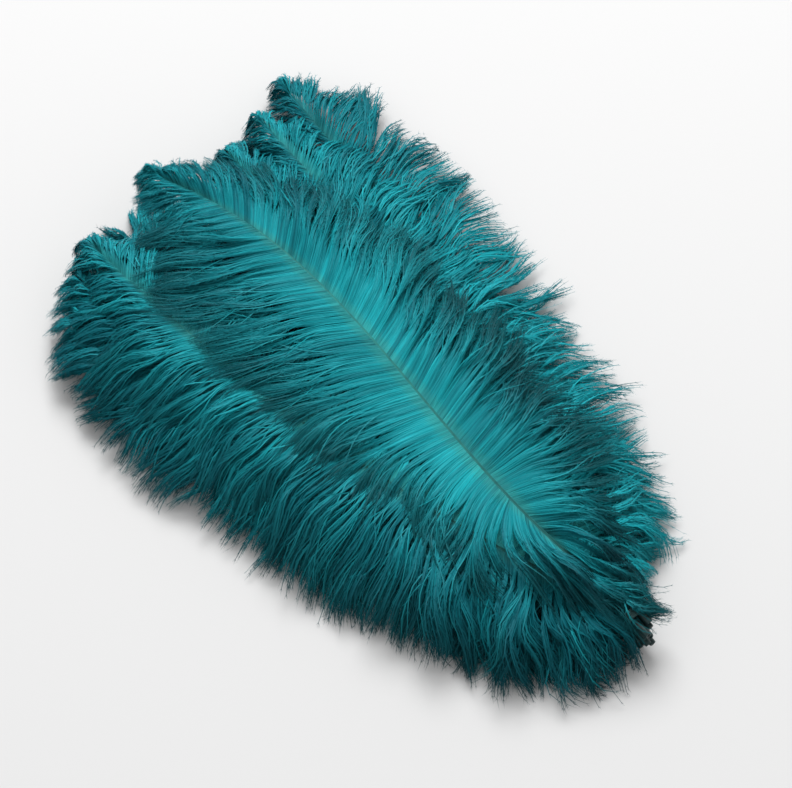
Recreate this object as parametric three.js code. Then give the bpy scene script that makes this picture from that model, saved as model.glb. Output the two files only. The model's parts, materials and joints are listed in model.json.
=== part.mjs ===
// A bunch of dyed ostrich plumes, stacked one over another and fanned out from a band round their quills.
//
// Frame: +X runs from the butts of the quills to the tips, +Y is the side to which the fan opens wider,
// +Z is up. The bunch lies on the plane z = 0. The origin is moved at the end to the middle of its underside.
//
// Each plume has four solids: its calamus (the bare barrel of the quill, held in the band), its rachis
// (the tapering shaft, which swings sideways where it leaves the band), and the vane on either side of it.
// All solids of one plume lie in a level of their own, which climbs evenly from the band to the tip,
// so that any plume can swing over the one below it.

import * as THREE from 'three';
import { mergeVertices } from 'three/addons/utils/BufferGeometryUtils.js';

const degree = Math.PI / 180;

// Driving dimensions, in millimetres.

const clearance = 0.3; // between pieces that touch

const calamusRadius = 2.0;
const calamusGap = 0.4; // between neighbours in the band
const calamusSides = 10;

const rachisRootRadius = 1.7;
const rachisBareRadius = 1.4; // where the vanes begin
const rachisTipRadius = 0.45;
const rachisBareLength = 16; // from the band to the first barbs
const rachisSides = 8;
const rachisSteps = 21;
const noseSteps = 3; // the rounded end that turns in front of the calamus
const noseFlat = 20 * degree; // how much of that end's quarter round is left flat

const bandThickness = 1.2;
const bandWidth = 6;
const bandSetback = 2; // from the ends of the calami to the band
const bandCornerRadius = 3;
const knotRadius = 1.9;
const knotLength = 5.5;

const vaneRootThickness = 0.7;
const vaneThickness = 2.7;
const vaneFullAt = 170; // where the vanes reach their full thickness
const vaneShaftGap = 0.4; // from the shaft to the vane beside it
const vaneOverhang = 0.035; // how far the vane's end passes the shaft's tip, as a share of the length
const vaneSteps = 22;

const levelRun = 350; // how far out the levels have opened to their full rise
const levelRise = 4.2; // from one level to the next there

// The plumes, from the lowest to the highest. heading is the direction of the tip, in degrees towards +Y.
// leave and arrive are how far the shaft points away from that line where it leaves the band and at its tip.
// left and right are the widths of the vanes on its two sides.

const plumes = [
  { heading: 7, length: 330, leave: 5, arrive: -6, left: 64, right: 54, butt: 15 },
  { heading: -5, length: 338, leave: -4, arrive: 6, left: 60, right: 50, butt: 18 },
  { heading: 13, length: 328, leave: 6, arrive: -8, left: 64, right: 56, butt: 13 },
  { heading: -12, length: 356, leave: -4, arrive: 9, left: 58, right: 47, butt: 16 },
  { heading: 18, length: 318, leave: 5, arrive: -6, left: 64, right: 58, butt: 19 },
  { heading: -8, length: 340, leave: -5, arrive: 7, left: 58, right: 50, butt: 14 },
  { heading: 15, length: 326, leave: 6, arrive: -9, left: 66, right: 58, butt: 17 },
  { heading: -3, length: 326, leave: -3, arrive: 6, left: 60, right: 54, butt: 15 },
  { heading: 12, length: 334, leave: 12, arrive: -9, left: 64, right: 58, butt: 18 },
  { heading: 4, length: 338, leave: 9, arrive: 24, left: 62, right: 60, butt: 14 },
];

// The calami stand in two columns, with each one half a step above the last. The shafts turn on upright
// axes through the centres of their rounded ends, which lie on x = 0.

const columnStep = 2 * calamusRadius + calamusGap;
const plumeStep = columnStep / 2;
const lowestCalamus = bandThickness + clearance + calamusRadius;
const lowestTip = vaneThickness / 2;
const calamusEnd = -rachisRootRadius - clearance;
const bandEnd = calamusEnd - bandSetback;

function seat(index) {
  const side = index % 2 === 0 ? 1 : -1;
  return new THREE.Vector2(0, side * columnStep / 2);
}

// The height of the middle of a plume's level at a distance x from the band.
function levelHeight(index, x) {
  const start = lowestCalamus + index * plumeStep;
  const end = lowestTip + index * levelRise;
  return start + (end - start) * x / levelRun;
}

// The line of a shaft seen from above, as a curve from the band to its tip.
function shaftLine(plume, index) {
  const start = seat(index);
  const heading = plume.heading * degree;
  const reach = plume.length / 3;
  const out = heading + plume.leave * degree;
  const last = heading + plume.arrive * degree;
  const tip = new THREE.Vector2(Math.cos(heading), Math.sin(heading)).multiplyScalar(plume.length).add(start);
  return new THREE.CubicBezierCurve(
    start,
    new THREE.Vector2(start.x + reach * Math.cos(out), start.y + reach * Math.sin(out)),
    new THREE.Vector2(tip.x - reach * Math.cos(last), tip.y - reach * Math.sin(last)),
    tip,
  );
}

// A point beside the shaft, at a share of its length from the band and a distance to its left.
// Before the band and past the tip the line runs straight on.
function beside(line, length, share, left) {
  const along = THREE.MathUtils.clamp(share, 0, 1);
  const point = line.getPoint(along);
  const ahead = line.getTangent(along);
  point.addScaledVector(ahead, (share - along) * length);
  return new THREE.Vector2(point.x - left * ahead.y, point.y + left * ahead.x);
}

function rachisRadius(plume, share) {
  const bare = rachisBareLength / plume.length;
  if (share < bare) return THREE.MathUtils.lerp(rachisRootRadius, rachisBareRadius, share / bare);
  return THREE.MathUtils.lerp(rachisBareRadius, rachisTipRadius, (share - bare) / (1 - bare));
}

function closed(geometry) {
  geometry.deleteAttribute('normal');
  geometry.deleteAttribute('uv');
  const merged = mergeVertices(geometry, 1e-4);
  merged.computeVertexNormals();
  return merged;
}

function calamusGeometry(plume, index) {
  const geometry = new THREE.CylinderGeometry(calamusRadius, calamusRadius * 0.85, plume.butt, calamusSides);
  geometry.rotateZ(-Math.PI / 2);
  geometry.translate(calamusEnd - plume.butt / 2, seat(index).y, levelHeight(index, 0));
  return closed(geometry);
}

// How far along its length a ring of the shaft lies, as a share, and its radius there.
function rachisRing(plume, step) {
  if (step < noseSteps) {
    const angle = THREE.MathUtils.lerp(noseFlat, Math.PI / 2, step / noseSteps);
    return [-rachisRootRadius * Math.cos(angle) / plume.length, rachisRootRadius * Math.sin(angle)];
  }
  const share = (step - noseSteps) / (rachisSteps - noseSteps);
  return [share, rachisRadius(plume, share)];
}

// A cylinder laid along the shaft's line, round at the band and thinning to the tip.
function rachisGeometry(plume, index, line) {
  const geometry = new THREE.CylinderGeometry(1, 1, 1, rachisSides, rachisSteps);
  const spot = geometry.attributes.position;
  for (let i = 0; i < spot.count; i++) {
    const step = Math.round((spot.getY(i) + 0.5) * rachisSteps);
    const [share, radius] = rachisRing(plume, step);
    const at = beside(line, plume.length, share, -spot.getX(i) * radius);
    spot.setXYZ(i, at.x, at.y, levelHeight(index, at.x) + spot.getZ(i) * radius);
  }
  return closed(geometry);
}

// The free edge of a vane, as shares of the shaft's length and of the vane's width. It starts at the first
// barbs, sweeps back round the band, runs along the plume and closes round its tip.
function vaneEdge(plume) {
  return new THREE.CatmullRomCurve3([
    new THREE.Vector3(rachisBareLength / plume.length + 0.01, 0.06, 0),
    new THREE.Vector3(-0.03, 0.44, 0),
    new THREE.Vector3(0.02, 0.8, 0),
    new THREE.Vector3(0.16, 0.98, 0),
    new THREE.Vector3(0.4, 1, 0),
    new THREE.Vector3(0.65, 0.93, 0),
    new THREE.Vector3(0.85, 0.7, 0),
    new THREE.Vector3(0.97, 0.42, 0),
    new THREE.Vector3(1 + vaneOverhang, 0.03, 0),
  ]);
}

function vaneThicknessAt(x) {
  const grown = THREE.MathUtils.clamp((x - rachisBareLength) / (vaneFullAt - rachisBareLength), 0, 1);
  return THREE.MathUtils.lerp(vaneRootThickness, vaneThickness, grown);
}

// The soft mass of the barbs on one side, side being 1 for the left and -1 for the right.
function vaneGeometry(plume, index, line, side) {
  const width = side > 0 ? plume.left : plume.right;
  const first = rachisBareLength / plume.length;
  const outline = [];
  for (let i = 0; i <= vaneSteps; i++) {
    const share = THREE.MathUtils.lerp(first, 1 + vaneOverhang, i / vaneSteps);
    const gap = vaneShaftGap + rachisRadius(plume, Math.min(share, 1));
    outline.push(beside(line, plume.length, share, side * gap));
  }
  for (const spot of vaneEdge(plume).getPoints(vaneSteps).reverse().slice(1, -1)) {
    outline.push(beside(line, plume.length, spot.x, side * spot.y * width));
  }
  const shape = new THREE.Shape(outline);
  const geometry = new THREE.ExtrudeGeometry(shape, { depth: 1, bevelEnabled: false });
  const spot = geometry.attributes.position;
  for (let i = 0; i < spot.count; i++) {
    const half = vaneThicknessAt(spot.getX(i)) / 2;
    const middle = levelHeight(index, spot.getX(i));
    const top = spot.getZ(i) > 0.5;
    // the lowest plume's barbs hang to the surface that the bunch lies on
    const under = index === 0 ? 0 : middle - half;
    spot.setZ(i, top ? middle + half : under);
  }
  return closed(geometry);
}

// A ring with rounded corners round all the calami.
function bandGeometry() {
  const halfWidth = columnStep / 2 + calamusRadius + clearance;
  const low = lowestCalamus - calamusRadius - clearance;
  const high = lowestCalamus + (plumes.length - 1) * plumeStep + calamusRadius + clearance;
  const outer = roundedBox(halfWidth + bandThickness, low - bandThickness, high + bandThickness, bandCornerRadius);
  const inner = roundedBox(halfWidth, low, high, bandCornerRadius - bandThickness);
  outer.holes.push(new THREE.Path(inner.getPoints(4).reverse()));
  const geometry = new THREE.ExtrudeGeometry(outer, { depth: bandWidth, bevelEnabled: false, curveSegments: 4 });
  // the drawn outline's first axis becomes +Y and its second +Z
  geometry.applyMatrix4(new THREE.Matrix4().makeBasis(
    new THREE.Vector3(0, 1, 0),
    new THREE.Vector3(0, 0, 1),
    new THREE.Vector3(1, 0, 0),
  ));
  geometry.translate(bandEnd - bandWidth, 0, 0);
  return closed(geometry);
}

function roundedBox(halfWidth, low, high, radius) {
  const shape = new THREE.Shape();
  shape.moveTo(-halfWidth + radius, low);
  shape.lineTo(halfWidth - radius, low);
  shape.absarc(halfWidth - radius, low + radius, radius, -Math.PI / 2, 0);
  shape.lineTo(halfWidth, high - radius);
  shape.absarc(halfWidth - radius, high - radius, radius, 0, Math.PI / 2);
  shape.lineTo(-halfWidth + radius, high);
  shape.absarc(-halfWidth + radius, high - radius, radius, Math.PI / 2, Math.PI);
  shape.lineTo(-halfWidth, low + radius);
  shape.absarc(-halfWidth + radius, low + radius, radius, Math.PI, 1.5 * Math.PI);
  return shape;
}

// The knot that ends the band's thread, on the band's right side.
function knotGeometry() {
  const geometry = new THREE.CapsuleGeometry(knotRadius, knotLength - 2 * knotRadius, 3, 10);
  geometry.rotateX(Math.PI / 2);
  const bandSide = columnStep / 2 + calamusRadius + clearance + bandThickness;
  const middle = lowestCalamus + (plumes.length - 1) * plumeStep / 2;
  geometry.translate(bandEnd - bandWidth / 2, -bandSide - clearance - knotRadius, middle);
  return closed(geometry);
}

const dyedVane = { color: 0x0f7078, roughness: 0.75, metalness: 0 };
const dyedShaft = { color: 0x4a9a8c, roughness: 0.4, metalness: 0 };
const dyedButt = { color: 0x0b3436, roughness: 0.35, metalness: 0 };
const thread = { color: 0x08201f, roughness: 0.8, metalness: 0 };

const bunch = new THREE.Group();

function add(name, geometry, finish) {
  const mesh = new THREE.Mesh(geometry, new THREE.MeshStandardMaterial(finish));
  mesh.name = name;
  bunch.add(mesh);
}

plumes.forEach((plume, index) => {
  const name = `plume_${String(index + 1).padStart(2, '0')}`;
  const line = shaftLine(plume, index);
  add(`${name}_calamus`, calamusGeometry(plume, index), dyedButt);
  add(`${name}_rachis`, rachisGeometry(plume, index, line), dyedShaft);
  add(`${name}_vane_left`, vaneGeometry(plume, index, line, 1), dyedVane);
  add(`${name}_vane_right`, vaneGeometry(plume, index, line, -1), dyedVane);
});
add('quill_band', bandGeometry(), thread);
add('band_knot', knotGeometry(), thread);

// The origin goes to the middle of the underside.
const extent = new THREE.Box3().setFromObject(bunch);
const middle = extent.getCenter(new THREE.Vector3());
bunch.position.set(-middle.x, -middle.y, -extent.min.z);
bunch.updateMatrixWorld(true);

export default bunch;
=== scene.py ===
"""A tied bunch of dyed ostrich plumes, fanned out and lying on a pale table.

Everything is in metres. Each plume keeps to its own level over the table, and its shaft swings at the band.
The barbs grow in a row along each side of a shaft. They cling together in fronds, the fronds in tufts, and
every barb carries barbules.
"""

import json
import math
from types import SimpleNamespace

import bmesh
import bpy
import numpy as np
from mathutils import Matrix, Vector


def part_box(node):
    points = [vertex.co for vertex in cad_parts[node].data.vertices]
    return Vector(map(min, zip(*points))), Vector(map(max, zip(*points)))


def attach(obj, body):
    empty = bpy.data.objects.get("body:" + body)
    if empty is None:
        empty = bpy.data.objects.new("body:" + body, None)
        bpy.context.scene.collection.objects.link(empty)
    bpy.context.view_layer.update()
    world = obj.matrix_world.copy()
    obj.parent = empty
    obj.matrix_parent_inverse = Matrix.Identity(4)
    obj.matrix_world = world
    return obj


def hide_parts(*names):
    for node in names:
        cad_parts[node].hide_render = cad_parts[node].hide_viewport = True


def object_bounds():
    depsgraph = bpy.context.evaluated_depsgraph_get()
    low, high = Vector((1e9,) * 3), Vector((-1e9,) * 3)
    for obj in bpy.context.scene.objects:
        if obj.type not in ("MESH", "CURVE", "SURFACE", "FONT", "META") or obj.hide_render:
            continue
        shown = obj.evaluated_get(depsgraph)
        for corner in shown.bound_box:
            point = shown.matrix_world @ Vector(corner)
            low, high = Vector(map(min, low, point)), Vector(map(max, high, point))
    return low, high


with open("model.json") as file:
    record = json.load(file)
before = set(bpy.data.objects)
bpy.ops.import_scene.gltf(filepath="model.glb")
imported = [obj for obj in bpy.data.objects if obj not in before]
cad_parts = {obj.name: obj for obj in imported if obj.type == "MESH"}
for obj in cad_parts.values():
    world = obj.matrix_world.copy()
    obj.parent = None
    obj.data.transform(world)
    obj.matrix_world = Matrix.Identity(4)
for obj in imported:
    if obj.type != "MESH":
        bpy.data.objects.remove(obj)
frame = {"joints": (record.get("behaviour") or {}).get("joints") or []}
cad_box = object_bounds()

MM = 0.001
TINY = 1e-12  # keeps a division by a length from failing

# The plumes, from the lowest to the highest, as the frame has them: which way the tip lies from the band, in
# degrees towards +Y; how long the shaft is; how far it turns away from that line at the band and at the tip;
# and how wide the vanes are.
PLUMES = [
    {"heading": 7, "length": 330, "leave": 5, "arrive": -6, "left": 64, "right": 54},
    {"heading": -5, "length": 338, "leave": -4, "arrive": 6, "left": 60, "right": 50},
    {"heading": 13, "length": 328, "leave": 6, "arrive": -8, "left": 64, "right": 56},
    {"heading": -12, "length": 356, "leave": -4, "arrive": 9, "left": 58, "right": 47},
    {"heading": 18, "length": 318, "leave": 5, "arrive": -6, "left": 64, "right": 58},
    {"heading": -8, "length": 340, "leave": -5, "arrive": 7, "left": 58, "right": 50},
    {"heading": 15, "length": 326, "leave": 6, "arrive": -9, "left": 66, "right": 58},
    {"heading": -3, "length": 326, "leave": -3, "arrive": 6, "left": 60, "right": 54},
    {"heading": 12, "length": 334, "leave": 12, "arrive": -9, "left": 64, "right": 58},
    {"heading": 4, "length": 338, "leave": 9, "arrive": 24, "left": 62, "right": 60},
]
TOP = len(PLUMES) - 1

# A level climbs or falls from its plume's place in the band to the height of its tip, over this run along X.
LEVEL_RUN = 350 * MM
LEVEL_RISE = 4.2 * MM
LOWEST_TIP = 1.35 * MM

# A shaft's radius at the band, at the end of its bare part and at the tip.
ROOT_RADIUS = 1.7 * MM
BARE_RADIUS = 1.4 * MM
TIP_RADIUS = 0.45 * MM
BARE_LENGTH = 16 * MM

# Where each plume turns in the band.
PIVOTS = {j["child"]: np.array(j["pos_m"], float) for j in frame["joints"]}


def plume_name(index):
    return f"plume_{index + 1:02d}"


def smooth(x, low, high):
    """0 below low, 1 above high, and an even curve between."""
    x = np.clip((x - low) / (high - low), 0, 1)
    return x * x * (3 - 2 * x)


# ---------------------------------------------------------------- shaft lines


def shaft_points(index, shares):
    """Places on a plume's centre line, at shares of its length from the band, as rows of x, y, z."""
    plume = PLUMES[index]
    start = PIVOTS[plume_name(index)]
    length = plume["length"] * MM
    heading = math.radians(plume["heading"])
    out = heading + math.radians(plume["leave"])
    last = heading + math.radians(plume["arrive"])
    p0 = start[:2]
    p3 = p0 + length * np.array([math.cos(heading), math.sin(heading)])
    p1 = p0 + length / 3 * np.array([math.cos(out), math.sin(out)])
    p2 = p3 - length / 3 * np.array([math.cos(last), math.sin(last)])
    s = np.asarray(shares, float)[:, None]
    flat = (1 - s) ** 3 * p0 + 3 * (1 - s) ** 2 * s * p1 + 3 * (1 - s) * s ** 2 * p2 + s ** 3 * p3
    tip_height = LOWEST_TIP + index * LEVEL_RISE
    height = start[2] + (tip_height - start[2]) * (flat[:, 0] - start[0]) / LEVEL_RUN
    return np.column_stack([flat, height])


def shaft_frame(index, shares):
    """The centre line with its direction and its left, both level."""
    points = shaft_points(index, shares)
    step = 1e-3
    ahead = shaft_points(index, np.asarray(shares) + step) - shaft_points(index, np.asarray(shares) - step)
    ahead[:, 2] = 0
    ahead /= np.linalg.norm(ahead, axis=1)[:, None]
    left = np.column_stack([-ahead[:, 1], ahead[:, 0], np.zeros(len(ahead))])
    return points, ahead, left


def shaft_radius(index, shares):
    """How thick a shaft is at these shares of its length."""
    along = np.asarray(shares) * PLUMES[index]["length"] * MM
    root = ROOT_RADIUS + (BARE_RADIUS - ROOT_RADIUS) * along / BARE_LENGTH
    rest = (along - BARE_LENGTH) / (PLUMES[index]["length"] * MM - BARE_LENGTH)
    return np.where(along < BARE_LENGTH, root, BARE_RADIUS + (TIP_RADIUS - BARE_RADIUS) * rest)


# ---------------------------------------------------------------- barbs


def mesh_from(name, verts, triangles, uv):
    """A piece made of these triangles, with a place on the two scales of dye and painted shade for each of
    their corners.
    """
    mesh = bpy.data.meshes.new(name)
    mesh.vertices.add(len(verts))
    mesh.vertices.foreach_set("co", np.asarray(verts, np.float32).reshape(-1))
    triangles = np.asarray(triangles, np.int32)
    mesh.loops.add(triangles.size)
    mesh.loops.foreach_set("vertex_index", triangles.reshape(-1))
    mesh.polygons.add(len(triangles))
    mesh.polygons.foreach_set("loop_start", np.arange(0, triangles.size, 3, dtype=np.int32))
    mesh.polygons.foreach_set("loop_total", np.full(len(triangles), 3, dtype=np.int32))
    mesh.update(calc_edges=True)
    mesh.polygons.foreach_set("use_smooth", np.full(len(triangles), True))
    layer = mesh.uv_layers.new(name="OFBake")
    layer.data.foreach_set("uv", np.asarray(uv, np.float32).reshape(-1))
    piece = bpy.data.objects.new(name, mesh)
    bpy.context.scene.collection.objects.link(piece)
    return piece


SIDE_ROOM = max(abs(cad_box[0][1]), abs(cad_box[1][1])) + 12 * MM  # barbs are pressed back beyond this
PRESSED_BACK = 0.92  # and this share of what stands out is taken away
STRANDS = 3  # in each frond
FREE_BARBS = 0.06  # the share of barbs that lie out of their frond's order
LEAST_HEIGHT = 0.9 * MM  # of a barb over the table
LEAST_HAIR_HEIGHT = 0.3 * MM  # of a barbule over the table

# How the barbs lie, for shares of the shaft's length: their angle from the shaft's forward direction at the
# root and at the end, in degrees; their length as a share of the vane's width; and how far their ends hang
# down towards the table.
LIE_SHARES = [0.035, 0.08, 0.15, 0.24, 0.31, 0.38, 0.52, 0.66, 0.78, 0.88, 0.95, 1.00]
LIE = {
    "left": {
        "root": [138, 118, 108, 100, 94, 86, 76, 66, 58, 48, 38, 20],
        "end": [176, 152, 134, 122, 114, 106, 94, 80, 66, 54, 44, 26],
        "long": [0.54, 0.86, 1.08, 1.10, 1.08, 1.06, 0.96, 0.90, 0.86, 0.74, 0.52, 0.30],
        "hang": [0.5, 0.5, 0.5, 0.5, 0.5, 0.5, 0.45, 0.4, 0.4, 0.4, 0.4, 0.4],
    },
    "right": {
        "root": [136, 116, 100, 92, 88, 82, 74, 68, 62, 48, 36, 20],
        "end": [174, 136, 110, 98, 94, 88, 78, 70, 62, 50, 38, 22],
        "long": [0.36, 0.58, 1.08, 1.20, 1.20, 1.20, 1.18, 1.14, 1.14, 1.00, 0.68, 0.32],
        "hang": [0.5, 0.5, 0.5, 0.5, 0.5, 0.5, 0.45, 0.4, 0.4, 0.4, 0.4, 0.4],
    },
    "top_left": {
        "root": [170, 170, 158, 112, 88, 78, 66, 62, 58, 50, 38, 20],
        "end": [214, 226, 214, 184, 152, 108, 74, 60, 52, 44, 34, 18],
        "long": [0.70, 0.92, 1.08, 1.28, 1.36, 1.44, 1.50, 1.44, 1.22, 0.92, 0.54, 0.24],
        "hang": [0.2, 0.2, 0.3, 0.5, 0.55, 0.4, 0.12, 0.03, 0.02, 0.06, 0.1, 0.1],
    },
    "top_right": {
        "root": [170, 170, 150, 106, 84, 74, 68, 64, 58, 50, 38, 20],
        "end": [206, 220, 186, 108, 76, 58, 44, 34, 26, 22, 16, 8],
        "long": [0.46, 0.66, 0.96, 1.16, 1.20, 1.22, 1.2, 1.12, 0.96, 0.72, 0.46, 0.24],
        "hang": [0.2, 0.2, 0.25, 0.3, 0.3, 0.3, 0.25, 0.2, 0.2, 0.2, 0.2, 0.2],
    },
}


def drifting(share, spacing, count, rng):
    """Random numbers that change slowly along a shaft: columns that neighbours nearly share."""
    knots = int(1 / spacing) + 3
    places = np.linspace(-0.02, 1.02, knots)
    values = rng.normal(size=(count, knots)).clip(-2, 2)
    return np.column_stack([np.interp(share, places, v) for v in values])


def frond_habits(index, style, rng):
    """Where the fronds of a vane grow, and how each one departs from an even row.

    The columns of own, lean, sway and tufts are random habits: those of each frond, those that change slowly
    or very slowly along the shaft, and those that a whole tuft shares.
    """
    shaft_length = PLUMES[index]["length"] * MM
    first = style["first"] / shaft_length
    count = int((1 - first) * shaft_length / style["pitch"])
    place = (np.arange(count) + 0.5 + 0.1 * rng.normal(size=count).clip(-1, 1)) / count
    share = first + (1 - first) * (1 - (1 - place) ** 1.2)
    own = rng.normal(size=(count, 10)).clip(-2.2, 2.2)
    lean = drifting(share, 0.035, 6, rng)
    sway = drifting(share, 0.12, 6, rng)
    tuft_of = np.cumsum(rng.random(count) < 1 / style["tuft"])
    tuft_of -= tuft_of[0]
    return SimpleNamespace(
        count=count,
        share=share,
        bounds=np.concatenate([[first], (share[1:] + share[:-1]) / 2, [1.0]]),
        downy=1 - smooth(share, 0.16, 0.34),
        own=own,
        lean=lean,
        sway=sway,
        tufts=rng.normal(size=(tuft_of.max() + 1, 10)).clip(-2, 2)[tuft_of],
        tuft_share=(np.bincount(tuft_of, share) / np.bincount(tuft_of))[tuft_of],
        stray=(rng.random(count) < style["stray"])[:, None],
    )


def frond_length(index, side, style, habits):
    """How long each frond is."""
    width = PLUMES[index]["left" if side > 0 else "right"] * MM
    share, own, lean, tufts = habits.share, habits.own, habits.lean, habits.tufts
    length = width * np.interp(share, LIE_SHARES, style["lie"]["long"]) * style["long"]
    length = length * (1 + 0.04 * own[:, 2] + 0.04 * lean[:, 2] + 0.04 * tufts[:, 2])
    length = np.clip(length, 0.15 * width, 1.55 * width)
    return (length * (1 - (1 - style["tip"]) * smooth(share, 0.72, 0.95)))[:, None]


def frond_bend(tau, style, habits):
    """The angle between each frond and its shaft, all along the frond: its lie, and two waves over that."""
    share, own, lean, sway, tufts = habits.share, habits.own, habits.lean, habits.sway, habits.tufts
    loose = style["loose"]
    root = np.interp(share, LIE_SHARES, style["lie"]["root"])
    root = root + own[:, 0] + 2.5 * lean[:, 0]
    root = root + habits.downy * (6 * own[:, 0] + 8 * tufts[:, 0])
    end = np.interp(share, LIE_SHARES, style["lie"]["end"])
    end = end + loose * (4 * own[:, 1] + 8 * lean[:, 1] + 5 * tufts[:, 1])
    end = end + habits.downy * (10 * own[:, 5] + 16 * tufts[:, 2])
    root, end = root[:, None], end[:, None] + habits.stray * 30 * own[:, 9:10]
    angle = np.radians(root + (end - root) * tau ** 1.25)
    calm = (1 + 0.9 * habits.downy - 0.7 * smooth(share, 0.78, 0.94))[:, None]
    swing = style["wave"] * smooth(tau, 0.12, 0.75) * calm
    phase = 0.45 * sway[:, 0:1] + 0.22 * lean[:, 3:4] + 0.05 * loose * own[:, 4:5]
    angle = angle + swing * np.sin(2 * np.pi * (tau * (1.2 + 0.15 * sway[:, 1:2]) + phase))
    phase = 0.5 * sway[:, 2:3] + 0.3 * lean[:, 4:5] + 0.10 * loose * own[:, 6:7]
    return angle + 0.4 * swing * np.sin(2 * np.pi * (tau * (2.5 + 0.3 * sway[:, 3:4]) + phase))


def frond_flow(index, side, tau, length, style, habits):
    """The level line of each frond from its root, the root itself, and the direction across the frond."""
    angle = frond_bend(tau, style, habits)
    step = np.diff(tau, axis=1, prepend=0) * length
    forward = np.cumsum(np.cos(angle) * step, axis=1)
    outward = np.cumsum(np.sin(angle) * step, axis=1) * side
    to_tuft = ((habits.tuft_share - habits.share) * (PLUMES[index]["length"] * MM))[:, None]
    forward = forward + style["gather"] * smooth(tau, 0.35, 1) * to_tuft
    points, ahead, left = shaft_frame(index, habits.share)
    flow = forward[:, :, None] * ahead[:, None, :] + outward[:, :, None] * left[:, None, :]
    along = np.gradient(flow, axis=1)
    along /= np.linalg.norm(along, axis=2)[:, :, None] + TINY
    across = np.stack([-along[:, :, 1], along[:, :, 0], np.zeros(flow.shape[:2])], axis=2) * side
    return flow, points, across


def frond_rise(tau, style, habits):
    """How high each frond lies over its plume's shaft, and how far its end hangs down from there."""
    own, tufts = habits.own, habits.tufts
    uneven = 0.22 * own[:, 7:8] + 0.35 * tufts[:, 7:8] + 0.3 * habits.lean[:, 5:6] + 1.2 * habits.stray
    lift = style["lift"] * (1 + uneven) * (1 + 0.5 * habits.downy[:, None])
    ripple = 0.7 * MM * own[:, 8:9] * np.sin(2 * np.pi * (tau * 1.3 + own[:, 3:4]))
    rise = lift * np.sin(np.pi * np.minimum(tau * 1.1, 1)) + ripple * smooth(tau, 0.1, 0.4)
    hang = style["hang"] * np.interp(habits.share, LIE_SHARES, style["lie"]["hang"])[:, None]
    return rise, hang * (1 + 0.16 * own[:, 6:7] + 0.2 * tufts[:, 6:7])


def under_the_top_plume(height, x):
    """Holds the lower plumes' barbs down where the top plume's shaft and vanes lie over them."""
    start = PIVOTS[plume_name(TOP)]
    run = np.clip((x - start[0]) / LEVEL_RUN, 0, 1)
    ceiling = start[2] + (LOWEST_TIP + TOP * LEVEL_RISE - start[2]) * run
    return np.minimum(height, ceiling + 0.2 * MM + 0.15 * (height - ceiling))


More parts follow.
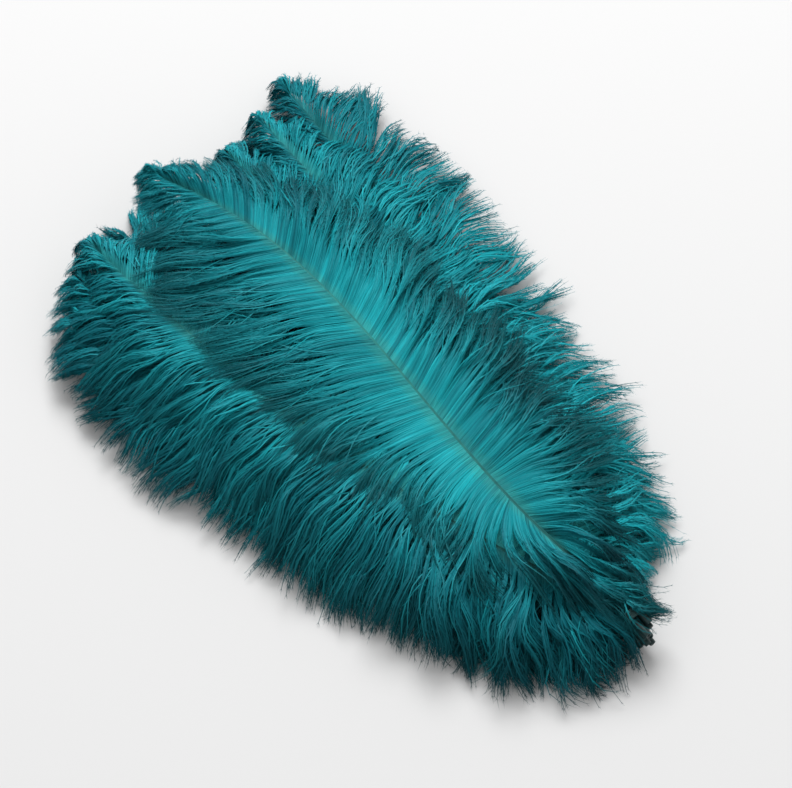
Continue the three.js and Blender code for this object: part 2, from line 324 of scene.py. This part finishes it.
def growth(index, side, style, rng):
    """The barbs of one side of a plume.

    Gives the line of each, the shares of its length at the line's points, how far out the dye is at them (a
    scale that also carries a painted sheen near the root and painted shade towards the end), the barb's own
    shade (partly painted shade and light by vane side and near the butt), and how far its ribbon is tilted.
    """
    habits = frond_habits(index, style, rng)
    own, tufts, fronds = habits.own, habits.tufts, habits.count
    tau = np.linspace(0, 1, style["stations"])[None, :]
    length = frond_length(index, side, style, habits)
    flow, points, across = frond_flow(index, side, tau, length, style, habits)
    rise, hang = frond_rise(tau, style, habits)

    # the barbs of a frond keep their order: even along the shaft, and gathered into strands further out
    each = style["barbs"] // fronds
    frond = np.repeat(np.arange(fronds), each)
    even = (np.arange(each) + 0.5) / each
    in_strand = even * STRANDS % 1
    ridge = np.tile(in_strand * 2 - 1, fronds)
    strand = frond * STRANDS + np.tile((even * STRANDS).astype(int), fronds)
    gathered = (np.floor(even * STRANDS) + 0.5 + 0.5 * (in_strand - 0.5)) / STRANDS
    spot = np.tile(gathered * 2 - 1, fronds) + rng.normal(0, 0.03, fronds * each)
    room = habits.bounds[frond + 1] - habits.bounds[frond]
    barb_share = habits.bounds[frond] + np.tile(even, fronds) * room
    roots, _, barb_left = shaft_frame(index, barb_share)
    radius = shaft_radius(index, barb_share)

    # how each barb departs from its frond's line
    barb_tau = np.clip(tau + rng.uniform(-0.035, 0.035, (len(frond), 1)) * np.sin(np.pi * tau), 0, 1)
    reach = rng.uniform(0.80, 1.0, (len(frond), 1)) * (1 - 0.07 * spot[:, None] ** 2)
    drift = rng.normal(size=(len(frond), 4)).clip(-2, 2)
    leave = smooth(barb_tau, *style["part"])
    half = style["frond"] / 2 * (1 + 0.3 * own[frond, 5:6])
    half = half * leave * (1 - 0.8 * smooth(barb_tau, 0.6, 1.0))
    kinks = barb_tau * (2.2 + 0.7 * drift[:, 1:2]) + drift[:, 2:3]
    aside = half * spot[:, None] + 0.28 * MM * leave * drift[:, 0:1]
    aside = aside + style["kink"] * leave * np.sin(2 * np.pi * kinks)

    # it starts beside the shaft, and towards the tip it reaches over the shaft
    cover = smooth(barb_share, 0.78, 0.9)
    edge = ((0.62 - 1.5 * cover) * radius * side)[:, None, None] * barb_left[:, None, :]
    base = (points[frond] - roots)[:, None, :] * leave[:, :, None]

    # next to the shaft the barbs lie in one sheet, which parts into the fronds further out
    spread = np.interp(barb_share, habits.share, np.arange(fronds))
    before = np.minimum(spread.astype(int), fronds - 2)
    between = (spread - before)[:, None]
    sheet = flow[before] * (1 - between[:, :, None]) + flow[before + 1] * between[:, :, None]
    own_flow = sheet + (flow[frond] - sheet) * leave[:, :, None]
    own_flow[:, 1:-1] += (own_flow[:, 2:] - own_flow[:, 1:-1]) * rng.uniform(0, 0.8, (len(frond), 1, 1))
    free = rng.random((len(frond), 1)) < FREE_BARBS
    turn = rng.normal(0, 1, (len(frond), 1)).clip(-2, 2) * np.where(free, 0.14, 0.022) * leave
    own_flow = own_flow + turn[:, :, None] * own_flow[:, :, [1, 0, 2]] * np.array([-1, 1, 0])
    lines = roots[:, None, :] + edge + own_flow * reach[:, :, None] + base
    lines = lines + aside[:, :, None] * across[frond]
    over = np.maximum(np.abs(lines[:, :, 1]) - SIDE_ROOM, 0) * np.sign(lines[:, :, 1])
    lines[:, :, 1] -= PRESSED_BACK * over

    # how high it lies
    rise = rise[before] * (1 - between) + rise[before + 1] * between + (rise[frond] - rise[before]) * leave
    top = roots[:, 2:3] + ((0.62 + 0.6 * cover) * radius)[:, None]
    crown = 0.45 * MM * (1 - spot[:, None] ** 2) * leave + 0.25 * MM * drift[:, 3:4] * leave
    crown = crown + 1.4 * MM * free * leave
    height = top * (1 - hang[frond] * barb_tau ** style["fall"]) + rise + crown
    height = height + 0.2 * MM * (1 - ridge[:, None] ** 2)
    if index < TOP:
        height = under_the_top_plume(height, lines[:, :, 0])
    lines[:, :, 2] = np.maximum(height, LEAST_HEIGHT + 0.6 * MM * np.abs(drift[:, 0:1]))

    # its own shade: random by frond, tuft, strand and barb, lighter for stray and free barbs, darker towards
    # the tip, with painted shade and light by vane side and near the butt
    shade = style["dye"] + style["butt_dye"] * (1 - smooth(barb_share, 0.2, 0.6))
    shade = shade + 0.15 * own[frond, 0] + 0.10 * tufts[frond, 3] + 0.25 * habits.stray[frond, 0]
    # painted shade near the butt, deeper on the left vanes
    shade = shade - (0.16 if side > 0 else 0.04) * (1 - smooth(barb_share, 0.14, 0.3))
    shade = shade + style["tip_dye"] * smooth(barb_share, 0.6, 0.85) + 0.2 * free[:, 0]
    shade = shade + 0.11 * rng.normal(size=fronds * STRANDS)[strand] + 0.08 * drift[:, 1]

    # how far out on the dye's scale: within this distance of the shaft the colour is greyer and paler, a
    # painted sheen on the barbs' roots
    root_sheen_reach = np.interp(barb_share, [0, 0.5, 1], [4.6 * MM, 2.6 * MM, 1.0 * MM])[:, None]
    distance = barb_tau * length[frond] * reach
    beyond = np.clip(distance - root_sheen_reach, 0, 1) / (length[frond] - root_sheen_reach)
    dye = 0.15 * np.clip(distance / root_sheen_reach, 0, 1) + 0.85 * beyond
    # painted shade at the barbs' ends: how far they reach the dark end of the scale, less on the right vanes
    # and near the tip, and more at the ends near the butt
    dye = dye * style["end_dye"] * (1 - 0.3 * smooth(barb_share, 0.8, 0.96))[:, None]
    dye = dye + style["far_dye"] * (1 - smooth(barb_share, 0.28, 0.6))[:, None] * smooth(barb_tau, 0.3, 0.9)
    tilt = 0.3 * spot + 0.6 * ridge
    return lines, barb_tau, np.clip(dye, 0, 1), np.clip(shade, 0.02, 0.98), tilt


def barb_mesh(name, side, lines, tau, dye, shade, tilt, style, rng):
    """One mesh of these barbs: a narrow ribbon each, with barbules that point forwards on both sides."""
    count, stations = lines.shape[:2]
    last = stations - 1
    ahead = np.gradient(lines, axis=1)
    ahead /= np.linalg.norm(ahead, axis=2)[:, :, None] + TINY
    across = np.cross(np.broadcast_to([0.0, 0.0, 1.0], ahead.shape), ahead)
    across /= np.linalg.norm(across, axis=2)[:, :, None] + TINY
    rise = np.cross(ahead, across)
    roll = side * tilt[:, None] + rng.normal(0, 0.16, (count, 1))
    roll = roll + rng.normal(0, 0.1, (count, stations))
    flat = across * np.cos(roll)[:, :, None] + rise * np.sin(roll)[:, :, None]
    half = style["barb"] / 2 * (0.55 + 0.45 * smooth(tau, 0.05, 0.4)) * (1 - 0.7 * smooth(tau, 0.6, 1.0))
    half = half * rng.uniform(0.75, 1.25, (count, 1))
    spread = half[:, :, None] * flat
    edges = np.stack([lines[:, :last] + spread[:, :last], lines[:, :last] - spread[:, :last]], axis=2)
    edges = edges.reshape(count, 2 * last, 3)

    # the barbules start from the ribbon's own corners
    reach = style["fluff"] * (0.12 + 0.88 * smooth(tau[:, 1:last], 0.12, 0.6))
    hairs = []
    for way in (1, -1):
        turn = np.radians(rng.uniform(14, 44, (count, last - 1)))
        lean = rng.normal(0, 0.35, (count, last - 1))
        size = reach * rng.uniform(0.5, 1.3, (count, last - 1))
        side_way = across[:, 1:last] * np.cos(lean)[:, :, None] + rise[:, 1:last] * np.sin(lean)[:, :, None]
        forward = ahead[:, 1:last] * np.cos(turn)[:, :, None]
        tip = lines[:, 1:last] + size[:, :, None] * (forward + way * side_way * np.sin(turn)[:, :, None])
        tip[:, :, 2] = np.maximum(tip[:, :, 2], LEAST_HAIR_HEIGHT)
        hairs.append(tip)
    verts = np.concatenate([edges, lines[:, last:], *hairs], axis=1)

    # the triangles of one barb, and then of all of them
    faces = []
    for s in range(last - 1):
        a, b, c, d = 2 * s, 2 * s + 1, 2 * s + 3, 2 * s + 2
        faces += [(a, b, c), (a, c, d)]
    faces.append((2 * last - 2, 2 * last - 1, 2 * last))
    for k in range(2):
        start = 2 * last + 1 + k * (last - 1)
        faces += [(2 * s, 2 * s + 1, start + s - 1) for s in range(1, last)]
    faces = np.array(faces)
    everything = (faces[None] + verts.shape[1] * np.arange(count)[:, None, None]).reshape(-1, 3)

    # U is how far out on the barb the dye is, with a painted sheen near the root and painted shade towards
    # the end, and V is the barb's own shade of it, partly painted shade and light
    fringe = dye[:, 1:last] + 0.04
    along = np.concatenate([np.repeat(dye[:, :last], 2, axis=1), dye[:, last:], fringe, fringe], axis=1)
    uv = np.column_stack([along[:, faces].reshape(-1), np.repeat(shade, faces.size)])
    return mesh_from(name, verts.reshape(-1, 3), everything, np.clip(uv, 0.002, 0.998))


# ---------------------------------------------------------------- shafts, quills and their band

PLY_TWIST = 0.42  # how far the two plies turn from one point of a thread's line to the next


def only(piece):
    """Selects this piece alone and makes it the active one."""
    bpy.ops.object.select_all(action="DESELECT")
    piece.select_set(True)
    bpy.context.view_layer.objects.active = piece


def pick(piece, wanted):
    """In edit mode, selects the corners that wanted accepts, with the faces they close, and nothing else."""
    mesh = bmesh.from_edit_mesh(piece.data)
    for part in (*mesh.verts, *mesh.edges, *mesh.faces):
        part.select = False
    for corner in mesh.verts:
        corner.select = bool(wanted(corner.co))
    mesh.select_flush(True)
    bmesh.update_edit_mesh(piece.data)


def curve_points(curve, rows, closed=False):
    """Adds one plain line through these rows of x, y, z to a curve."""
    spline = curve.splines.new("POLY")
    spline.points.add(len(rows) - 1)
    spline.points.foreach_set("co", np.column_stack([rows, np.ones(len(rows))]).ravel())
    spline.use_cyclic_u = closed
    return spline


def drawn_along(name, line, outline, thickness=1.0, twist=0.0, keep="MINIMUM"):
    """A closed tube: an outline drawn along a line, thicker or twisted from point to point, then welded.

    With keep at Z_UP the outline's upper side stays up all along.
    """
    section = bpy.data.curves.new(f"{name}_section", "CURVE")
    section.dimensions = "2D"
    section.fill_mode = "NONE"
    curve_points(section, np.column_stack([outline, np.zeros(len(outline))]), closed=True)
    pattern = bpy.data.objects.new(section.name, section)
    bpy.context.scene.collection.objects.link(pattern)
    curve = bpy.data.curves.new(name, "CURVE")
    curve.dimensions = "3D"
    curve.twist_mode = keep
    curve.bevel_mode = "OBJECT"
    curve.bevel_object = pattern
    curve.use_fill_caps = True
    spline = curve_points(curve, line)
    spline.points.foreach_set("radius", np.full(len(line), 1.0) * thickness)
    spline.points.foreach_set("tilt", np.full(len(line), 1.0) * twist)
    piece = bpy.data.objects.new(name, curve)
    bpy.context.scene.collection.objects.link(piece)
    only(piece)
    bpy.ops.object.convert(target="MESH")
    bpy.data.objects.remove(pattern)
    piece = bpy.context.object
    bpy.ops.object.mode_set(mode="EDIT")
    bpy.ops.mesh.select_all(action="SELECT")
    bpy.ops.mesh.remove_doubles(threshold=0.001 * MM)
    bpy.ops.mesh.normals_make_consistent(inside=False)
    bpy.ops.object.mode_set(mode="OBJECT")
    bpy.ops.object.shade_smooth_by_angle(angle=math.radians(60))
    return piece


def shaft_piece(index):
    """A tapering shaft with a rounded root and a groove along its upper side."""
    nose = ROOT_RADIUS / (PLUMES[index]["length"] * MM)
    shares = np.concatenate([np.array([-0.98, -0.8, -0.5, 0]) * nose, np.linspace(0.004, 1, 72)])
    line = shaft_points(index, shares)
    rounding = np.sqrt(1 - (np.minimum(shares, 0) / nose) ** 2)
    radius = shaft_radius(index, np.maximum(shares, 0)) * rounding
    turn = np.radians([0, 30, 55, 72, 82, 90, 98, 108, 125, 150, 180, 215, 250, 290, 325])
    groove = np.interp(np.degrees(turn), [66, 90, 114], [1.0, 0.64, 1.0])
    outline = MM * groove[:, None] * np.column_stack([np.cos(turn), 0.92 * np.sin(turn)])
    return drawn_along(f"{plume_name(index)}_shaft", line, outline, thickness=radius / MM, keep="Z_UP")


def quill_butt(index, rng):
    """The bare barrel of a quill: a cylinder, narrowed by rings, cut at a slant and hollow at the cut."""
    name = plume_name(index)
    low, high = np.array(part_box(f"{name}_calamus"))
    radius = (high[2] - low[2]) / 2
    middle = (low + high) / 2
    length = high[0] - low[0]
    wall = 0.3 * radius
    hollow = 2.2 * MM
    near = 0.05 * MM
    bpy.ops.object.select_all(action="DESELECT")
    bpy.ops.mesh.primitive_cylinder_add(vertices=24, radius=0.98 * radius, depth=length, location=middle,
                                        rotation=(0, math.pi / 2, 0))
    piece = bpy.context.object
    piece.name = piece.data.name = f"{name}_quill_butt"
    bpy.ops.object.transform_apply(location=True, rotation=True, scale=True)
    bpy.ops.object.mode_set(mode="EDIT")

    # rings along the barrel, and how thick it is at each
    sizes = {0.0: 0.84, 0.06: 0.93, 0.16: 0.98, 0.34: 1.0, 0.55: 0.98, 0.74: 1.0, 0.88: 0.96, 0.96: 0.84,
             1.0: 0.6}
    for share in sizes:
        if 0 < share < 1:
            bpy.ops.mesh.select_all(action="SELECT")
            bpy.ops.mesh.bisect(plane_co=low + share * (high - low), plane_no=(1, 0, 0))
    for share, size in sizes.items():
        place = (low[0] + share * length, middle[1], middle[2])
        pick(piece, lambda corner: abs(corner.x - place[0]) < near)
        bpy.ops.transform.resize(value=(1, size, size), center_override=place)

    # the hollow, and then the slant of its rim
    end = (low[0], middle[1], middle[2])
    pick(piece, lambda corner: corner.x < low[0] + near)
    bpy.ops.mesh.inset(thickness=wall)
    bpy.ops.mesh.extrude_region_move(TRANSFORM_OT_translate={"value": (hollow, 0, 0)})
    bpy.ops.transform.resize(value=(1, 0.8, 0.8), center_override=end)
    pick(piece, lambda corner: corner.x < low[0] + near)
    bpy.ops.transform.rotate(value=rng.uniform(-0.32, 0.32), orient_axis="Y", center_override=end)
    bpy.ops.object.mode_set(mode="OBJECT")
    bpy.ops.object.shade_smooth_by_angle(angle=math.radians(40))
    return piece


def two_ply(radius):
    """The outline of two plies laid side by side."""
    turn = np.linspace(0, 2 * np.pi, 10, endpoint=False)
    reach = radius * (0.78 + 0.22 * np.abs(np.cos(turn)))
    return np.column_stack([reach * np.cos(turn), reach * np.sin(turn)])


def around_the_quills(walk, straight, corner):
    """Places on the band's outline, seen along the quills: four round corners joined by straight sides."""
    arc = corner * np.pi / 2
    middles = [(straight[0] / 2, straight[1] / 2), (-straight[0] / 2, straight[1] / 2),
               (-straight[0] / 2, -straight[1] / 2), (straight[0] / 2, -straight[1] / 2)]
    marks, places = [], []
    gone = 0.0
    for quarter, (across, up) in enumerate(middles):
        for part in np.linspace(0, 1, 7):
            turn = (quarter + part) * np.pi / 2
            marks.append(gone + part * arc)
            places.append((across + corner * np.cos(turn), up + corner * np.sin(turn)))
        gone += arc + straight[quarter % 2]
    marks.append(gone)
    places.append(places[0])
    places = np.array(places)
    along = (walk % 1) * gone
    return np.column_stack([np.interp(along, marks, places[:, 0]), np.interp(along, marks, places[:, 1])])


def wound_band():
    """The thread round the quills: turns side by side on a rounded outline."""
    low, high = np.array(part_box("quill_band"))
    thread = 0.62 * MM
    squeezed = 1.15 * thread  # the turns are pressed into one another
    turns = 5
    corner = 3.0 * MM - thread
    straight = high[1:] - low[1:] - 2 * thread - 2 * corner
    walk = np.linspace(0, turns, 64 * turns)
    flat = around_the_quills(walk, straight, corner)
    middle = (low + high) / 2
    x = low[0] + thread + (high[0] - low[0] - 2 * thread) * walk / turns
    line = np.column_stack([x, middle[1] + flat[:, 0], middle[2] + flat[:, 1]])
    return drawn_along("wound_band", line, two_ply(squeezed), twist=PLY_TWIST * np.arange(len(line)))


def thread_knot():
    """A tight overhand knot with its two tails."""
    low, high = np.array(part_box("band_knot"))
    middle, half = (low + high) / 2, (high - low) / 2
    t = np.linspace(-0.25, 2 * np.pi - 1.0, 90)
    loop = np.column_stack([np.cos(t) - 2 * np.cos(2 * t), -np.sin(3 * t), np.sin(t) + 2 * np.sin(2 * t)]) / 3
    thread = 0.6 * MM
    line = middle + loop * (half - thread)
    return drawn_along("thread_knot", line, two_ply(thread), twist=PLY_TWIST * np.arange(len(line)))


# ---------------------------------------------------------------- finishes


def new_finish(name):
    """A new material, with its nodes, its links and its shader."""
    material = bpy.data.materials.new(name)
    material.use_nodes = True
    nodes, links = material.node_tree.nodes, material.node_tree.links
    return material, nodes, links, nodes["Principled BSDF"]


def colour_stops(nodes, stops):
    """A scale of colours with these places and colours on it."""
    ramp = nodes.new("ShaderNodeValToRGB")
    while len(ramp.color_ramp.elements) < len(stops):
        ramp.color_ramp.elements.new(0.5)
    for element, (place, colour) in zip(ramp.color_ramp.elements, stops):
        element.position = place
        element.color = (*colour, 1)
    return ramp


def one_on_the_other(nodes, links, first, second):
    """Two scales of colour multiplied, as the mixed colour's socket."""
    mix = nodes.new("ShaderNodeMix")
    mix.data_type = "RGBA"
    mix.blend_type = "MULTIPLY"
    mix.inputs["Factor"].default_value = 1
    links.new(first.outputs["Color"], mix.inputs[6])
    links.new(second.outputs["Color"], mix.inputs[7])
    return mix.outputs[2]


def fine_relief(nodes, links, shader, noise, strength, depth):
    """Lets the surface follow this noise."""
    bump = nodes.new("ShaderNodeBump")
    bump.inputs["Strength"].default_value = strength
    bump.inputs["Distance"].default_value = depth
    links.new(noise.outputs["Fac"], bump.inputs["Height"])
    links.new(bump.outputs["Normal"], shader.inputs["Normal"])


def dyed_barb_finish():
    """Teal dye, with a painted sheen (greyer and paler) at the barbs' roots, painted shade darkening their
    ends, and a shade of its own on each barb, partly random and partly painted shade and light.
    """
    material, nodes, links, shader = new_finish("dyed_barbs")
    where = nodes.new("ShaderNodeUVMap")
    where.uv_map = "OFBake"
    split = nodes.new("ShaderNodeSeparateXYZ")
    links.new(where.outputs["UV"], split.inputs[0])
    # along the barb: a painted sheen at the root, then the teal dye, then painted shade darkening to the end
    dye_sheen_and_shade_along = colour_stops(nodes, [
        (0.00, (0.034, 0.330, 0.335)),
        (0.10, (0.028, 0.370, 0.385)),
        (0.18, (0.014, 0.400, 0.455)),
        (0.40, (0.009, 0.310, 0.360)),
        (0.72, (0.006, 0.180, 0.210)),
        (1.00, (0.004, 0.090, 0.104)),
    ])
    links.new(split.outputs["X"], dye_sheen_and_shade_along.inputs["Fac"])
    # each barb's own shade: random, with painted shade and light by vane side and near the butt
    own_tone_and_painted_shade = colour_stops(nodes, [
        (0.00, (0.45, 0.48, 0.52)),
        (0.30, (0.75, 0.78, 0.80)),
        (0.70, (1.05, 1.05, 1.05)),
        (1.00, (1.35, 1.36, 1.35)),
    ])
    links.new(split.outputs["Y"], own_tone_and_painted_shade.inputs["Fac"])
    links.new(one_on_the_other(nodes, links, dye_sheen_and_shade_along, own_tone_and_painted_shade), shader.inputs["Base Color"])
    shader.inputs["Roughness"].default_value = 0.5
    shader.inputs["Specular IOR Level"].default_value = 0.09
    return material


def dyed_shaft_finish():
    """Horn under the same dye: dark near the band, paler towards the tips, with fine grain."""
    material, nodes, links, shader = new_finish("dyed_shaft")
    where = nodes.new("ShaderNodeTexCoord")
    place = nodes.new("ShaderNodeSeparateXYZ")
    links.new(where.outputs["Object"], place.inputs[0])
    span = nodes.new("ShaderNodeMapRange")
    span.inputs["From Min"].default_value = -0.17
    span.inputs["From Max"].default_value = 0.17
    links.new(place.outputs["X"], span.inputs["Value"])
    dye = colour_stops(nodes, [
        (0.00, (0.016, 0.120, 0.120)),
        (0.35, (0.026, 0.200, 0.190)),
        (0.62, (0.032, 0.270, 0.255)),
        (1.00, (0.050, 0.320, 0.300)),
    ])
    links.new(span.outputs["Result"], dye.inputs["Fac"])
    noise = nodes.new("ShaderNodeTexNoise")
    noise.inputs["Scale"].default_value = 220
    noise.inputs["Detail"].default_value = 4
    links.new(where.outputs["Object"], noise.inputs["Vector"])
    patches = colour_stops(nodes, [(0.3, (0.72, 0.74, 0.76)), (0.7, (1.1, 1.1, 1.08))])
    links.new(noise.outputs["Fac"], patches.inputs["Fac"])
    links.new(one_on_the_other(nodes, links, dye, patches), shader.inputs["Base Color"])
    fine_relief(nodes, links, shader, noise, 0.15, 0.3 * MM)
    shader.inputs["Roughness"].default_value = 0.5
    shader.inputs["Specular IOR Level"].default_value = 0.12
    return material


def dyed_butt_finish():
    """Near black dye on horn, streaked along the quill."""
    material, nodes, links, shader = new_finish("dyed_quill_butt")
    where = nodes.new("ShaderNodeTexCoord")
    stretch = nodes.new("ShaderNodeMapping")
    stretch.inputs["Scale"].default_value = (60, 900, 900)
    links.new(where.outputs["Object"], stretch.inputs["Vector"])
    noise = nodes.new("ShaderNodeTexNoise")
    noise.inputs["Scale"].default_value = 1
    noise.inputs["Detail"].default_value = 3
    links.new(stretch.outputs["Vector"], noise.inputs["Vector"])
    dye = colour_stops(nodes, [(0.3, (0.0025, 0.014, 0.017)), (0.75, (0.010, 0.055, 0.055))])
    links.new(noise.outputs["Fac"], dye.inputs["Fac"])
    links.new(dye.outputs["Color"], shader.inputs["Base Color"])
    fine_relief(nodes, links, shader, noise, 0.35, 0.4 * MM)
    shader.inputs["Roughness"].default_value = 0.45
    return material


def thread_finish():
    """Dark twisted thread with fine fibres across it."""
    material, nodes, links, shader = new_finish("binding_thread")
    where = nodes.new("ShaderNodeTexCoord")
    noise = nodes.new("ShaderNodeTexNoise")
    noise.inputs["Scale"].default_value = 1800
    noise.inputs["Detail"].default_value = 2
    links.new(where.outputs["Object"], noise.inputs["Vector"])
    dye = colour_stops(nodes, [(0.3, (0.003, 0.018, 0.020)), (0.7, (0.010, 0.060, 0.060))])
    links.new(noise.outputs["Fac"], dye.inputs["Fac"])
    links.new(dye.outputs["Color"], shader.inputs["Base Color"])
    fine_relief(nodes, links, shader, noise, 0.4, 0.2 * MM)
    shader.inputs["Roughness"].default_value = 0.8
    return material


# ---------------------------------------------------------------- scene


def look_from(azimuth, elevation, target, distance, lens):
    """The camera, turned and raised in degrees round what it looks at."""
    a, e = math.radians(azimuth), math.radians(elevation)
    back = Vector((math.sin(a) * math.cos(e), -math.cos(a) * math.cos(e), math.sin(e)))
    data = bpy.data.cameras.new("camera")
    data.lens = lens
    data.clip_start = 0.01
    data.clip_end = 20
    camera = bpy.data.objects.new("camera", data)
    camera.location = Vector(target) + back * distance
    camera.rotation_euler = (-back).to_track_quat("-Z", "Y").to_euler()
    bpy.context.scene.collection.objects.link(camera)
    bpy.context.scene.camera = camera


def soft_light(name, place, target, size, power):
    """A round white studio lamp."""
    data = bpy.data.lights.new(name, "AREA")
    data.shape = "DISK"
    data.size = size
    data.energy = power
    lamp = bpy.data.objects.new(name, data)
    lamp.location = place
    lamp.rotation_euler = (Vector(target) - Vector(place)).to_track_quat("-Z", "Y").to_euler()
    bpy.context.scene.collection.objects.link(lamp)


def table():
    """A pale matt table top, just under the lowest barbs."""
    bpy.ops.object.select_all(action="DESELECT")
    bpy.ops.mesh.primitive_plane_add(size=6, location=(0, 0, -0.4 * MM))
    top = bpy.context.object
    top.name = "table_top"
    material, nodes, links, shader = new_finish("table_top")
    shader.inputs["Base Color"].default_value = (0.77, 0.77, 0.77, 1)
    shader.inputs["Roughness"].default_value = 0.9
    top.data.materials.append(material)


AZIMUTH = 229
ELEVATION = 60
LENS = 135
SENSOR = 36
SPAN = 0.4095  # what the picture's width takes in at the target
TARGET = (0.0034, -0.0160, 0.0)
look_from(AZIMUTH, ELEVATION, TARGET, SPAN * LENS / SENSOR, LENS)
table()

scene = bpy.context.scene
scene.view_settings.view_transform = "Standard"
world = bpy.data.worlds.new("studio")
scene.world = world
world.use_nodes = True
world.node_tree.nodes["Background"].inputs["Color"].default_value = (1, 1, 1, 1)
world.node_tree.nodes["Background"].inputs["Strength"].default_value = 0.50
soft_light("key", (1.60, -1.42, 2.45), (0, 0, 0), 2.2, 102)


# ---------------------------------------------------------------- plumes


def vane_style(index, word):
    """What the barbs of one vane are like.

    barbs, pitch and tuft: how many barbs there are, how far apart the fronds grow, how many make a tuft.
    first and stations: the lowest barb's distance from the band, and the points of a barb's line.
    gather, part, frond, stray, loose, wave and kink: how the barbs cling together, and how they wander.
    lift, hang and fall: how high they climb, and how their ends come down.
    barb and fluff: the width of a barb, and the length of its barbules.
    long and tip: how much longer the barbs are all along the vane, and towards its tip.
    dye, butt_dye, tip_dye, end_dye and far_dye: the vane's shade, partly painted
    shade and light by side; painted shading towards the butt, darker on most left vanes and lighter on the
    lower plumes' right vanes; how it darkens towards the tip; and the painted shade at the barbs' ends,
    everywhere and near the butt.
    """
    style = {
        "barbs": 1950, "first": 14 * MM, "pitch": 2.3 * MM, "tuft": 4.5, "lie": LIE[word], "stations": 12,
        "gather": 0.4, "part": (0.08, 0.5), "frond": 2.3 * MM, "stray": 0.03, "loose": 1.0, "wave": 0.30,
        "kink": 0.3 * MM, "lift": 2.6 * MM, "hang": 1.7, "fall": 2.2, "barb": 0.55 * MM, "fluff": 2.4 * MM,
        "long": 1.0, "tip": 1.0, "dye": 0.5, "butt_dye": 0.0, "far_dye": 0.1, "end_dye": 1.0, "tip_dye": -0.3,
    }
    # the right vanes painted lighter and the lower plumes' left vanes painted darker, as the light and shade
    # fall
    if word == "right":
        style.update(dye=0.58, butt_dye=0.36, end_dye=0.72)
    elif index < TOP - 1:
        style.update(dye=0.32, butt_dye=-0.22)
    elif index == TOP - 1:
        style.update(dye=0.52, butt_dye=-0.52)
    if index == 0:
        style.update(tip=1.5)
    if index in (1, 5, 7, 8):
        style.update(tip=0.8)
    if index == 3:
        style.update(tip=0.9, long=1.12 if word == "right" else 0.9, tip_dye=-0.62)
    if index == TOP - 1:
        style.update(barbs=2500 if word == "left" else 2000)
    if index == TOP:
        style.update(barbs=3400, first=12 * MM, lie=LIE[f"top_{word}"], stations=15)
        style.update(part=(0.2, 0.7), frond=2.1 * MM, loose=0.6, wave=0.22, kink=0.35 * MM)
        style.update(lift=3.2 * MM, hang=1.0, fall=3.2, barb=0.42 * MM, tip=0.8)
        # painted shade on the far ends of the barbs near the butt
        style.update(dye=0.58, butt_dye=-0.08, far_dye=0.55, end_dye=1.0, tip_dye=-0.34)
    return style


def finished(piece, slot, body, node):
    """Gives a piece its finish, and puts it in its node's place on the body."""
    piece.data.materials.append(FINISHES[slot])
    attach(piece, body)
    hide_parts(node)


FINISHES = {
    "dyed_barbs": dyed_barb_finish(),
    "dyed_shaft": dyed_shaft_finish(),
    "dyed_quill_butt": dyed_butt_finish(),
    "binding_thread": thread_finish(),
}
finished(wound_band(), "binding_thread", "bound_quills", "quill_band")
finished(thread_knot(), "binding_thread", "bound_quills", "band_knot")

for index in range(len(PLUMES)):
    name = plume_name(index)
    finished(shaft_piece(index), "dyed_shaft", name, f"{name}_rachis")
    butt = quill_butt(index, np.random.default_rng(index))
    finished(butt, "dyed_quill_butt", "bound_quills", f"{name}_calamus")
    for side, word in ((1, "left"), (-1, "right")):
        rng = np.random.default_rng(100 * index + (1 if side > 0 else 2))
        style = vane_style(index, word)
        lines, tau, dye, shade, tilt = growth(index, side, style, rng)
        barbs = barb_mesh(f"{name}_barbs_{word}", side, lines, tau, dye, shade, tilt, style, rng)
        finished(barbs, "dyed_barbs", name, f"{name}_vane_{word}")
